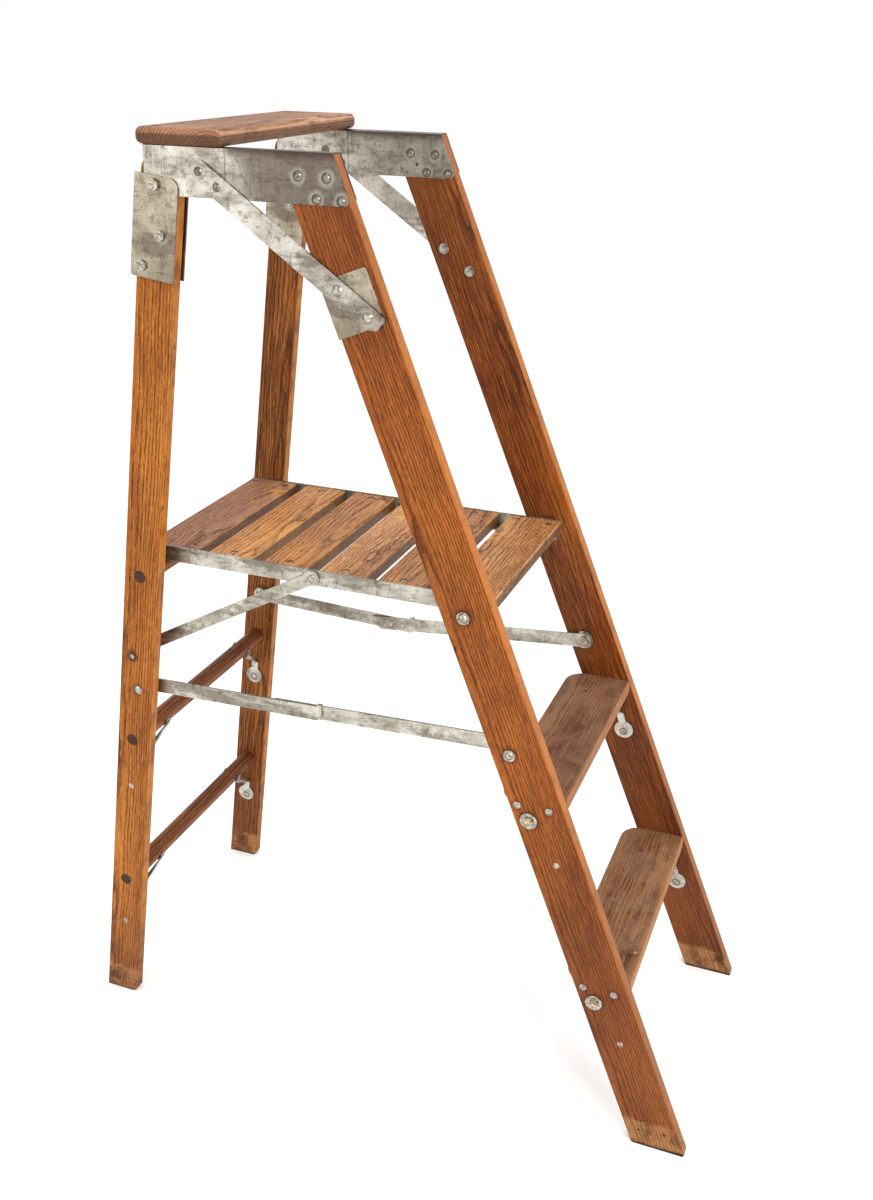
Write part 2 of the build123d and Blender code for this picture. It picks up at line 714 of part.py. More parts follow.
# ---------------------------------------------------------------- rear frame
def make_leg():
    top = hinge_along + leg_above_hinge
    below = -leg_width / 2
    points = [leg_point(0, below), leg_point(0, top), leg_point(leg_width, top),
              leg_point(leg_width, below)]
    face = outline(points)
    face = fillet(face.vertices().sort_by(Axis.Y)[-2:], leg_top_round)
    above = Pos(0, iron_top) * Rectangle(4 * half_depth, 2 * iron_top)
    face = face & above
    toe = face.vertices().sort_by(Axis.Y)[:2].sort_by(Axis.X)[0]
    face = fillet(toe, leg_toe_round)
    leg = slab(face, leg_outer, leg_inner)
    leg = fillet(long_edges(leg, 1000), leg_arris)
    for place in leg_plate_bolts:
        leg = leg - rod(small_bolt, *side_through, *leg_point(*place))
    for rung_along in (lower_rung_along, middle_rung_along):
        leg = leg - rod(rivet, *side_through, *rung_bracket_foot(rung_along))
    for place in leg_nail_places:
        leg = leg - rod(nail_hole, -1, leg_outer + nail_depth, *leg_point(*place))
    leg = on_left(leg) - floor_cut
    for y, z in rung_places():
        leg = leg - rod(tenon_diameter, *left_through, y, z)
    leg = leg - rod(pivot_bolt, *left_through, hinge_y, hinge_z)
    leg = leg - rod(pivot_bolt, *left_through, strut_foot_y, strut_foot_z)
    return leg - rod(pivot_bolt, *left_through, spread_rear_y, spread_rear_z)


def rung_places():
    """(y, z) of the three rungs; the platform irons rest on the top one."""
    alongs = (lower_rung_along, middle_rung_along, along_leg(rung_from_rear, top_rung_z))
    return [leg_point(rung_from_rear, along) for along in alongs]


def make_rung(y, z):
    """Round rung with tenons that end flush in the outer faces of the legs."""
    shoulder = -side_x(leg_inner, z + rung_diameter / 2) - 0.2
    body = rod(rung_diameter, -shoulder, shoulder, y, z)
    end = -side_x(leg_outer, z) - 0.3
    tenon = rod(tenon_diameter, -end, end, y, z)
    return body + tenon


def leg_plate_outline():
    low = hinge_along + leg_plate_above_hinge - leg_plate_height
    high = hinge_along + leg_plate_above_hinge
    rear = -leg_plate_overlap
    front = rear + leg_plate_width
    corners = ((rear, low), (rear, high), (front, high), (front, low))
    face = outline([leg_point(*corner) for corner in corners])
    top_corners = face.vertices().sort_by(Axis.Y)[-2:].sort_by(Axis.X)
    face = fillet(top_corners[0], leg_plate_front_round)
    rear_top = face.vertices().sort_by(Axis.Y)[-4:].sort_by(Axis.X)[-1]
    return fillet(rear_top, leg_plate_rear_round)


def make_leg_plate(start, end):
    plate = slab(leg_plate_outline(), start, end)
    for place in leg_plate_bolts:
        plate = plate - rod(small_bolt, start - 5, end + 5, *leg_point(*place))
    plate = on_left(plate)
    return plate - rod(pivot_bolt, *left_through, hinge_y, hinge_z)


def hinge_bolts():
    """Bolt on which each rear leg swings; it turns with the leg, inside the iron."""
    out_x = side_x(plate_outer_back - leg_plate_thickness, hinge_z) - 0.2
    in_x = side_x(plate_inner_back + leg_plate_thickness, hinge_z) + 0.2
    bolt = rod(pivot_bolt, out_x - 1, in_x + hinge_nut[1] + 2, hinge_y, hinge_z)
    bolt = bolt + hex_head(hinge_head[0], out_x - hinge_head[1], out_x, hinge_y, hinge_z)
    bolt = bolt + hex_head(hinge_nut[0], in_x, in_x + hinge_nut[1], hinge_y, hinge_z)
    return both_sides([bolt])


def make_leg_plate_bolts():
    """Bolts that clamp the two plates to the leg over spacing washers."""
    start = plate_outer_back - leg_plate_thickness
    end = plate_inner_back + leg_plate_thickness
    parts = []
    for place in leg_plate_bolts:
        y, z = leg_point(*place)
        bolt = rod(small_bolt, start, end + leg_plate_nut[1] + 1.9, y, z)
        bolt = bolt + hex_head(leg_plate_head[0], start - leg_plate_head[1], start, y, z)
        bolt = bolt + hex_head(leg_plate_nut[0], end, end + leg_plate_nut[1], y, z)
        parts.append(on_left(bolt))
        for inner, outer in ((plate_outer_back, leg_outer), (leg_inner, plate_inner_back)):
            parts.append(on_left(ring(leg_plate_spacer, small_bolt, inner, outer, y, z)))
    return both_sides(parts)


def rung_bracket_foot(along):
    return leg_point(rung_from_rear + rung_foot_forward, along - rung_bracket_drop)


def rung_brackets(y, z, along):
    """Eye riveted to the rung, a strap turning outwards, and a drop-shaped foot on the leg."""
    foot_y, foot_z = rung_bracket_foot(along)
    head = (foot_y + rung_bracket_lean[0], foot_z + rung_bracket_lean[1])
    foot = on_left(slab(bracket_foot(foot_y, foot_z, head), leg_inner,
                        leg_inner + strap_thickness))
    reach = rung_diameter / 2 + strap_thickness / 2
    lean = math.radians(rung_eye_lean)
    normal = (0, -math.cos(lean), -math.sin(lean))
    centre = (-rung_eye_reach, y + normal[1] * reach, z + normal[2] * reach)
    plane = Plane(origin=centre, x_dir=(1, 0, 0), z_dir=normal)
    eye = extrude(plane * Circle(rung_eye / 2), amount=strap_thickness / 2, both=True)
    bore = extrude(plane * Circle(rivet / 2), amount=60, both=True)
    down = Vector(0, math.sin(lean), -math.cos(lean))
    begin = Vector(*centre) + down * (rung_eye / 2 - 1)
    end = (side_x(leg_inner + strap_thickness / 2 + 0.1, head[1]), *head)
    strap = twisted_strap((begin, (1, 0, 0), normal), strap_width,
                          (end, (0, 1, 0.1), (1, 0, 0)), 2 * bracket_neck)
    bracket = (eye + strap + foot) - bore
    hole = rod(rivet, 0, side_through[1], foot_y, foot_z)
    return both_sides([bracket - on_left(hole)])


def rung_rivet_line(y, z):
    """Plane across the rung on which the eye's rivet lies."""
    lean = math.radians(rung_eye_lean)
    normal = (0, -math.cos(lean), -math.sin(lean))
    return Plane(origin=(-rung_eye_reach, y, z), x_dir=(1, 0, 0), z_dir=normal)


def rung_rivets():
    rivets = []
    places = rung_places()
    for (y, z), along in zip(places[:2], (lower_rung_along, middle_rung_along)):
        foot = rung_bracket_foot(along)
        inside = leg_inner + strap_thickness
        rivets.append(on_left(dome_rivet(leg_outer, inside, *foot, leg_rivet_head,
                                         bracket_rivet_tail)))
        plane = rung_rivet_line(y, z)
        reach = rung_diameter / 2 + strap_thickness
        shank = extrude(plane * Circle(rivet / 2), amount=reach)
        shank = shank + extrude(plane * Circle(rivet / 2), amount=-rung_diameter / 2 - 0.6)
        head = extrude(plane.offset(reach) * Circle(rung_rivet_head[0] / 2),
                       amount=rung_rivet_head[1])
        tail = extrude(plane.offset(-rung_diameter / 2 - 2.0) * Circle(rung_rivet_tail[0] / 2),
                       amount=rung_rivet_tail[1])
        rivets.append(shank + head + tail)
    return both_sides(rivets)


def drill_rung(rung, y, z):
    plane = rung_rivet_line(y, z)
    bore = extrude(plane * Circle(rivet / 2), amount=40, both=True)
    seat = extrude(plane.offset(-rung_diameter / 2 - 10) * Circle(4.8), amount=10.4)
    for cutter in (bore, seat):
        rung = rung - cutter - to_right(cutter)
    return rung


def leg_pivot_bolts():
    """Bolts in each rear leg that stop just short of the spreader's and the strut's ends."""
    out_x = side_x(leg_outer, spread_rear_z)
    wall_x = side_x(leg_inner, spread_rear_z)
    end_x = link_rear_out - open_gap
    bolt = rod(pivot_bolt, out_x - 1.2, end_x, spread_rear_y, spread_rear_z)
    bolt = bolt + dome(*leg_pivot_head, out_x - 0.3, spread_rear_y, spread_rear_z, -1)
    washer_x = clear_of_wall(wall_x, leg_pivot_washer)
    washer = ring(leg_pivot_washer, pivot_bolt, washer_x, end_x, spread_rear_y, spread_rear_z)
    start_x = side_x(leg_outer, strut_foot_z) - 0.8
    stub = rod(pivot_bolt, start_x, side_x(leg_inner, strut_foot_z), strut_foot_y, strut_foot_z)
    return both_sides([bolt, washer, stub])


# ---------------------------------------------------------------- platform
def slat_spans():
    """(front, rear) y of each slat, from the rear of the platform to its front."""
    spans = []
    rear = platform_rear_y
    for index in range(slat_count):
        width = end_slat_width if index in (0, slat_count - 1) else slat_width
        spans.append((rear - width, rear))
        rear = rear - width - slat_gap
    return spans


def slat_screw_ys(front, rear):
    middle = (front + rear) / 2
    if rear - front > slat_width + 1:
        return middle - slat_screw_spread, middle + slat_screw_spread
    return (middle,)


def make_slat(front, rear):
    top = platform_bottom + platform_iron_thickness + slat_thickness
    length = 2 * (platform_half_width - platform_iron_thickness - slat_end_gap)
    slat = Pos(0, (front + rear) / 2, top - slat_thickness / 2) \
        * Box(length, rear - front, slat_thickness)
    slat = fillet(slat.edges().filter_by(Axis.X), slat_arris)
    for x in (-slat_screw_x, slat_screw_x):
        for y in slat_screw_ys(front, rear):
            slat = slat - Pos(x, y, top) * Cylinder(screw / 2, 80)
            slat = slat - Pos(x, y, top - 1.2) * Cone(screw / 2, 4.8, 2.6)
    tails = ((pivot_tail, pivot_y, pivot_z),
             (2 * strut_rivet_tail[0], strut_head_y, strut_head_z))
    for diameter, y, z in tails:
        pocket = diameter + 2 * pocket_gap
        if front < y + pocket / 2 and y - pocket / 2 < rear:
            cutter = rod(pocket, length / 2 - pocket_depth, length, y, z)
            slat = slat - cutter - to_right(cutter)
    return slat


def slat_screws():
    screws = []
    for front, rear in slat_spans():
        for x in (-slat_screw_x, slat_screw_x):
            for y in slat_screw_ys(front, rear):
                top = platform_bottom + platform_iron_thickness + slat_thickness
                low = platform_bottom
                body = Pos(x, y, (top - 2 + low) / 2) * Cylinder(screw / 2, top - 2 - low)
                head = Pos(x, y, top - slat_screw_sink - 0.9) * Cone(screw / 2, 3.9, 1.8)
                screws.append(body + head)
    return Compound([solid for item in screws for solid in item.solids()])


def make_platform_iron():
    front = slat_spans()[-1][0]
    rear = platform_rear_y
    length = rear - front
    middle = (front + rear) / 2
    wall_x = -platform_half_width + platform_iron_thickness / 2
    wall = Pos(wall_x, middle, platform_bottom + platform_iron_height / 2) \
        * Box(platform_iron_thickness, length, platform_iron_height)
    shelf_x = -platform_half_width + platform_iron_flange / 2
    shelf = Pos(shelf_x, middle, platform_bottom + platform_iron_thickness / 2) \
        * Box(platform_iron_flange, length, platform_iron_thickness)
    iron = wall + shelf
    heel = [edge for edge in long_edges(iron, 300)
            if edge.center().Z < platform_bottom + 0.1 and edge.center().X < shelf_x - 5]
    iron = fillet(heel, 1.5)
    for slat_front, slat_rear in slat_spans():
        for y in slat_screw_ys(slat_front, slat_rear):
            iron = iron - Pos(-slat_screw_x, y, platform_bottom) * Cylinder(screw / 2, 20)
    hole = pivot_bolt + 2 * running_gap
    iron = iron - rod(hole, *left_through, pivot_y, pivot_z)
    return iron - rod(rivet, *left_through, strut_head_y, strut_head_z)


def make_strut():
    face = bar_outline((strut_head_y, strut_head_z), (strut_foot_y, strut_foot_z),
                       strut_width, strut_eye / 2, strut_width / 2 + 1)
    strut = slab(face, strut_face, strut_back)
    strut = strut - rod(rivet + 2 * running_gap, *left_through, strut_head_y, strut_head_z)
    return strut - rod(pivot_bolt, *left_through, strut_foot_y, strut_foot_z)


def strut_rivets():
    """Rivet on which each strut turns, fixed in the platform iron."""
    start = strut_face - link_gap
    end = -platform_half_width + platform_iron_thickness
    pin = rod(rivet, start, end, strut_head_y, strut_head_z)
    pin = pin + dome(*strut_rivet_head, start, strut_head_y, strut_head_z, -1)
    pin = pin + dome(*strut_rivet_tail, end, strut_head_y, strut_head_z, 1)
    return both_sides([pin])


def make_strut_bolt():
    """Bolt and bush on the strut's foot, ending just short of the rear leg."""
    wall_x = side_x(leg_inner, strut_foot_z)
    start = wall_x + open_gap + 0.6
    end = strut_back + strut_bolt_head[1]
    bolt = rod(pivot_bolt, start, end, strut_foot_y, strut_foot_z)
    bush = rod(strut_bush, start, strut_face, strut_foot_y, strut_foot_z)
    head = rod(strut_bolt_head[0], strut_back, end, strut_foot_y, strut_foot_z)
    return bolt + bush + head


# ---------------------------------------------------------------- spreaders
def knee_place(sag):
    """(y, z) of the knee: along the line between the two bolts, then down by the sag."""
    front = Vector(spread_y, spread_z)
    line = (Vector(spread_rear_y, spread_rear_z) - front).normalized()
    drop = Vector(line.Y, -line.X) * sag
    point = front + line * spreader_knee_run + drop
    return point.X, point.Y


def make_front_link(knee):
    """Inner link: from the stile's bolt to the knee and a little past it."""
    front = (spread_y, spread_z)
    start = Vector(*front)
    unit = (Vector(*knee) - start).normalized()
    side = Vector(-unit.Y, unit.X) * (spreader_width / 2)
    tip = Vector(*knee) + unit * spreader_front_overlap
    points = [start + side, tip + side, tip + side * 0.1, tip - unit * 15 - side, start - side]
    face = outline(points) + Pos(*front) * Circle(spreader_eye / 2)
    link = slab(face, link_front_out, link_front_in)
    link = link - rod(pivot_bolt + 2 * running_gap, *left_through, *front)
    return link - rod(rivet + 2 * running_gap, *left_through, *knee)


def make_rear_link(knee):
    """Outer link: from the leg to past the knee, with a stop tab over the inner link."""
    rear = (spread_rear_y, spread_rear_z)
    start = Vector(*rear)
    unit = (Vector(*knee) - start).normalized()
    half = spreader_width / 2
    side = Vector(unit.Y, -unit.X) * half
    tip = Vector(*knee) + unit * (spreader_rear_overlap - half)
    face = outline([start + side, tip + side, tip - side, start - side])
    face = face + Pos(*rear) * Circle(spreader_eye / 2) + Pos(tip.X, tip.Y) * Circle(half)
    link = slab(face, link_rear_out, link_rear_in)
    forward = (Vector(spread_y, spread_z) - Vector(*knee)).normalized()
    up = Vector(forward.Y, -forward.X)
    tab_end = Vector(*knee) + forward * spreader_rear_overlap
    tab_start = tab_end - forward * spreader_tab_length
    low = up * (half + link_gap)
    high = low + up * spreader_tab_thickness
    tab = outline([tab_start + low, tab_end + low, tab_end + high, tab_start + high])
    root = outline([tab_start, tab_end, tab_end + high, tab_start + high])
    link = link + slab(tab, link_rear_out, link_front_in) + slab(root, link_rear_out, link_rear_in)
    link = link - rod(pivot_bolt, *left_through, *rear)
    return link - rod(rivet, *left_through, *knee)


def knee_rivet(knee):
    """Rivet fixed in the rear link; the front link turns on it."""
    pin = rod(rivet, link_rear_out, link_front_in + link_gap, *knee)
    pin = pin + dome(*knee_head, link_rear_out, *knee, -1)
    return pin + dome(*knee_tail, link_front_in + link_gap, *knee, 1)


def rear_link_bolt():
    """Head and washer on the inner side of the rear link's free end."""
    y, z = spread_rear_y, spread_rear_z
    end = link_rear_in + rear_link_washer[1]
    bolt = rod(pivot_bolt, link_rear_out, end, y, z)
    bolt = bolt + rod(rear_link_washer[0], link_rear_in, end, y, z)
    return bolt + dome(*rear_link_head, end, y, z, 1)


# ---------------------------------------------------------------- assembly values
upper_step_top = lower_step_top + step_spacing
board_half_width = -side_x(-iron_thickness, iron_top) + board_overhang
board_rear_y = iron_rear_y + board_rear_overhang
board_front_y = board_rear_y - board_depth
board_screw_ys = (board_front_y + board_screw_inset, board_rear_y - board_screw_inset)
board_screw_x = -side_x(stile_thickness / 2, iron_top)
board_screw_places = [(x, y) for x in (-board_screw_x, board_screw_x) for y in board_screw_ys]
slat_screw_x = platform_half_width - slat_screw_inset
link_rear_out = side_x(inner_face, spread_z) + spreader_spacer
link_rear_in = link_rear_out + bar_thickness
link_front_out = link_rear_in + link_gap
link_front_in = link_front_out + bar_thickness

# ---------------------------------------------------------------- build
add_pair("stile", make_stile())
add_pair("iron", make_iron())
add_pair("brace", make_brace())
add_pair("brace_plate", make_brace_plate())
nodes["top_board"] = make_board()
nodes["board_screws"] = board_screws()
nodes["iron_rivets"] = iron_rivets()
nodes["brace_bolts"] = brace_bolts()
nodes["lower_step"] = make_step(lower_step_top)
nodes["upper_step"] = make_step(upper_step_top)
nodes["step_screws"] = step_screws()
nodes["tie_rods"] = tie_rods()
nodes["tie_rod_nuts"] = tie_rod_nuts()
nodes["lower_step_brackets"] = step_brackets(lower_step_top)
nodes["upper_step_brackets"] = step_brackets(upper_step_top)
nodes["step_bracket_rivets"] = step_bracket_rivets()
nodes["platform_bolts"] = platform_bolts()
nodes["spreader_front_bolts"] = spreader_front_bolts()

add_pair("leg", make_leg())
add_pair("outer_leg_plate", make_leg_plate(plate_outer_back - leg_plate_thickness,
                                           plate_outer_back))
add_pair("inner_leg_plate", make_leg_plate(plate_inner_back,
                                           plate_inner_back + leg_plate_thickness))
nodes["hinge_bolts"] = hinge_bolts()
nodes["leg_plate_bolts"] = make_leg_plate_bolts()
rung_ys = rung_places()
nodes["lower_rung"] = drill_rung(make_rung(*rung_ys[0]), *rung_ys[0])
nodes["middle_rung"] = drill_rung(make_rung(*rung_ys[1]), *rung_ys[1])
nodes["top_rung"] = make_rung(*rung_ys[2])
nodes["lower_rung_brackets"] = rung_brackets(*rung_ys[0], lower_rung_along)
nodes["middle_rung_brackets"] = rung_brackets(*rung_ys[1], middle_rung_along)
nodes["rung_rivets"] = rung_rivets()
nodes["leg_pivot_bolts"] = leg_pivot_bolts()

add_pair("platform_iron", make_platform_iron())
for number, (slat_front, slat_rear) in enumerate(slat_spans(), start=1):
    nodes[f"slat_{number}"] = make_slat(slat_front, slat_rear)
nodes["slat_screws"] = slat_screws()
nodes["strut_rivets"] = strut_rivets()
add_pair("strut", make_strut())
add_pair("strut_bolt", make_strut_bolt())

for side, sag in (("left", left_knee_sag), ("right", right_knee_sag)):
    knee = knee_place(sag)
    pieces = {
        "spreader_front_link": make_front_link(knee),
        "spreader_rear_link": make_rear_link(knee),
        "knee_rivet": knee_rivet(knee),
        "rear_link_bolt": rear_link_bolt(),
    }
    for name, piece in pieces.items():
        nodes[f"{side}_{name}"] = piece if side == "left" else to_right(piece)

os.makedirs("parts", exist_ok=True)
for name, part in nodes.items():
    export_step(part, f"parts/{name}.step")
print(len(nodes), "nodes")
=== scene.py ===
import json
import math

import bpy
import numpy as np
from mathutils import Matrix, Vector


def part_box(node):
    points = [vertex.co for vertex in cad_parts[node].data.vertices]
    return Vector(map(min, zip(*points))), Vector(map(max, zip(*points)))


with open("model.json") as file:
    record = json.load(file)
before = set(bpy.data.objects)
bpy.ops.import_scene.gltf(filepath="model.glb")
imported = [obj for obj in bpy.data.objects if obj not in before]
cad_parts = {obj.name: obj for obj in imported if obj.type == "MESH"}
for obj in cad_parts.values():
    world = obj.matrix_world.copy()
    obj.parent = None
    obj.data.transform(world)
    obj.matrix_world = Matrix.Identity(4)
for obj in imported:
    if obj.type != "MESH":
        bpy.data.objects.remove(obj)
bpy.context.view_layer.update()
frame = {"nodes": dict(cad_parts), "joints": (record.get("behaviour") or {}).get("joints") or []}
NODES = frame["nodes"]
JOINTS = {joint["name"]: joint for joint in frame["joints"]}

# The ladder stands with its front towards -y and its left side towards -x; metres.
SIDEWAYS = (1.0, 0.0, 0.0)
BACKWARDS = (0.0, 1.0, 0.0)
UP = (0.0, 0.0, 1.0)


# ------------------------------------------------------------------ measuring the frame
def corners(node):
    """A node's vertices as an array of points."""
    mesh = NODES[node].data
    points = np.empty(len(mesh.vertices) * 3)
    mesh.vertices.foreach_get("co", points)
    return points.reshape(-1, 3)


def largest_normal(normals, areas):
    """The direction whose faces, both ways round, add up to the most area."""
    any_side = (0.31, 0.53, 0.79)
    rounded = np.round(normals * np.sign(normals @ any_side)[:, None], 2)
    directions, index = np.unique(rounded, axis=0, return_inverse=True)
    totals = np.bincount(index.ravel(), weights=areas)
    direction = directions[np.argmax(totals)]
    direction = direction / np.linalg.norm(direction)
    facing = normals @ direction
    close = np.abs(facing) > 0.9997
    exact = (normals[close] * (areas[close] * np.sign(facing[close]))[:, None]).sum(0)
    return exact / np.linalg.norm(exact)


def board_axes(node):
    """Along, across and thickness directions of a straight board.

    The thickness is the normal that covers most area, across is the largest normal square
    to it, and along is their cross product."""
    mesh = NODES[node].data
    normals = np.empty(len(mesh.polygons) * 3)
    areas = np.empty(len(mesh.polygons))
    mesh.polygons.foreach_get("normal", normals)
    mesh.polygons.foreach_get("area", areas)
    normals = normals.reshape(-1, 3)
    thick = largest_normal(normals, areas)
    square = np.abs(normals @ thick) < 0.05
    across = largest_normal(normals[square], areas[square])
    along = np.cross(thick, across)
    return along * np.sign(along[np.argmax(np.abs(along))]), across, thick


def front_edge(node):
    """Which way along a board's across direction its front edge lies: -1 or 1."""
    return -1.0 if board_axes(node)[1][1] > 0 else 1.0


def middle_and_half(values):
    """The middle of some numbers' range and half of its width."""
    half = np.ptp(values) / 2
    return float(values.min() + half), float(half)


def group_centres(points, reach):
    """The centre of each group of points, all groups being narrower than reach."""
    found = []
    while len(points):
        near = np.linalg.norm(points - points[0], axis=1) < reach
        found.append((points[near].min(0) + points[near].max(0)) / 2)
        points = points[~near]
    return found


def side_places(node, reach):
    """(y, z) centres of the round pieces that a node has on the left side."""
    points = corners(node)
    return group_centres(points[points[:, 0] < 0][:, 1:], reach)


def plan_places(node, reach=0.0115):
    """(x, y) centres of the upright screws that a node has on the right side."""
    points = corners(node)
    return group_centres(points[points[:, 0] > 0][:, :2], reach)


# ------------------------------------------------------------------ shader expressions
def tone(red, green, blue):
    return (red, green, blue, 1.0)


class Signal:
    """A number that changes over a surface. Expressions on it add Math nodes."""

    def __init__(self, finish, socket):
        self.finish = finish
        self.socket = socket

    def math(self, operation, *others):
        return self.finish.node("ShaderNodeMath", {"operation": operation}, self, *others)

    def __add__(self, other):
        return self.math("ADD", other)

    def __sub__(self, other):
        return self.math("SUBTRACT", other)

    def __rsub__(self, other):
        return self.finish.node("ShaderNodeMath", {"operation": "SUBTRACT"}, other, self)

    def __mul__(self, other):
        return self.math("MULTIPLY", other)

    def __truediv__(self, other):
        return self.math("DIVIDE", other)

    def __pow__(self, other):
        return self.math("POWER", other)

    __radd__ = __add__
    __rmul__ = __mul__

    def abs(self):
        return self.math("ABSOLUTE")

    def fract(self):
        return self.math("FRACT")

    def sqrt(self):
        return self.math("SQRT")

    def least(self, other):
        return self.math("MINIMUM", other)

    def most(self, other):
        return self.math("MAXIMUM", other)

    def swing(self, size):
        """A noise's swing about its middle, 0.5, times size."""
        return (self - 0.5) * size

    def rise(self, low, high):
        """0 below low, 1 above high, and a smooth step between; low above high falls."""
        if low > high:
            return 1 - self.rise(high, low)
        settings = {"interpolation_type": "SMOOTHSTEP"}
        return self.finish.node("ShaderNodeMapRange", settings, self, low, high)


class Finish:
    """A material in the making: its tree, its shader and the colour laid on so far."""

    # Socket numbers of the colour inputs and output of a Mix node.
    MIX_FACTOR, MIX_FIRST, MIX_SECOND, MIX_RESULT = 0, 6, 7, 2

    def __init__(self, name):
        self.material = bpy.data.materials.new(name)
        self.material.use_nodes = True
        self.tree = self.material.node_tree
        self.shader = self.tree.nodes["Principled BSDF"]
        self.place = self.node("ShaderNodeTexCoord", {}, output="Object")
        self.colour = None

    def put(self, value, socket):
        """Give a socket a signal or a fixed value."""
        if isinstance(value, Signal):
            self.tree.links.new(value.socket, socket)
        else:
            socket.default_value = value

    def node(self, kind, settings, *inputs, output=0, **named):
        """Add a node: settings first, then values or signals for its sockets."""
        made = self.tree.nodes.new(kind)
        for key, value in settings.items():
            setattr(made, key, value)
        for key, value in [*enumerate(inputs), *named.items()]:
            self.put(value, made.inputs[key])
        return Signal(self, made.outputs[output])

    def distance(self, direction):
        """Distance of the surface point along a fixed direction."""
        settings = {"operation": "DOT_PRODUCT"}
        return self.node("ShaderNodeVectorMath", settings, self.place, tuple(direction),
                         output="Value")

    def point(self, x, y, z):
        return self.node("ShaderNodeCombineXYZ", {}, x, y, z)

    def noise(self, where, scale, detail, roughness=0.55):
        return self.node("ShaderNodeTexNoise", {}, Vector=where, Scale=scale, Detail=detail,
                         Roughness=roughness)

    def cells(self, where, scale):
        """Distance to the middle of the nearest of many scattered cells."""
        return self.node("ShaderNodeTexVoronoi", {"feature": "F1"}, Vector=where, Scale=scale)

    def spots(self, places, first, second):
        """Distance, in the plane of two signals, to the nearest of some places."""
        nearest = None
        for one, two in places:
            gap = ((first - float(one)) ** 2 + (second - float(two)) ** 2).sqrt()
            nearest = gap if nearest is None else nearest.least(gap)
        return nearest

    def blend(self, amount, first, second):
        """Mix two colours by a signal or number."""
        made = self.tree.nodes.new("ShaderNodeMix")
        made.data_type = "RGBA"
        self.put(amount, made.inputs[self.MIX_FACTOR])
        self.put(first, made.inputs[self.MIX_FIRST])
        self.put(second, made.inputs[self.MIX_SECOND])
        return Signal(self, made.outputs[self.MIX_RESULT])

    def layer(self, amount, colour):
        """Lay a colour over the one so far, by a signal or number."""
        self.colour = self.blend(amount, self.colour, colour)

    def feed(self, name, signal):
        self.tree.links.new(signal.socket, self.shader.inputs[name])

    def fix(self, name, value):
        self.shader.inputs[name].default_value = value

    def relief(self, height, distance, strength):
        bump = self.node("ShaderNodeBump", {}, Height=height, Distance=distance,
                         Strength=strength, output="Normal")
        self.feed("Normal", bump)


# ------------------------------------------------------------------ oak
PORE = tone(0.050, 0.013, 0.005)
GRIME = tone(0.030, 0.013, 0.008)
FOOT_RAW = tone(0.42, 0.185, 0.068)
# Painted highlight tone for the lit front edge faces of stiles and steps.
LIT_EDGE_TONE = tone(0.58, 0.205, 0.045)
WEATHERED = tone(0.33, 0.185, 0.105)
LOW_AND_HIGH_BROWN = tone(0.100, 0.026, 0.010)
AMBER = tone(0.93, 0.44, 0.080)
NAIL_RUST = tone(0.052, 0.026, 0.016)
UNDERSIDE_SHADE = tone(0.060, 0.024, 0.012)
END_DARK, END_PALE = tone(0.040, 0.017, 0.010), tone(0.110, 0.045, 0.022)

# How much darker the deep tone is than the body, for red, green and blue.
DEEP_SHARES = (0.55, 0.64, 0.64)

# Noise drawn out along the grain: features per metre along it and across it, the detail
# and the roughness.
SLOW = (2.2, 9, 2.0, 0.55)
SWAY = (5.5, 22, 2.0, 0.55)
PATCHES = (3.4, 13, 4.0, 0.60)
STREAKS = (16, 620, 4.0, 0.66)
FLECKS = (60, 230, 1.0, 0.55)
PORES = (95, 1500, 2.0, 0.55)

# Growth rings, in metres.
RING_WIDTH = 0.0042
PITH_DEPTH = 0.035
PITH_SIDES = (0.9, -0.7)     # across the board, in half widths; the seed picks one

# Wear at the feet and in the nail recesses, in metres.
NAIL_RECESS = 0.0016         # depth below the board's face from which a recess is dark
NAIL_REACH = 0.012           # height above the foot's wear up to which recesses lie


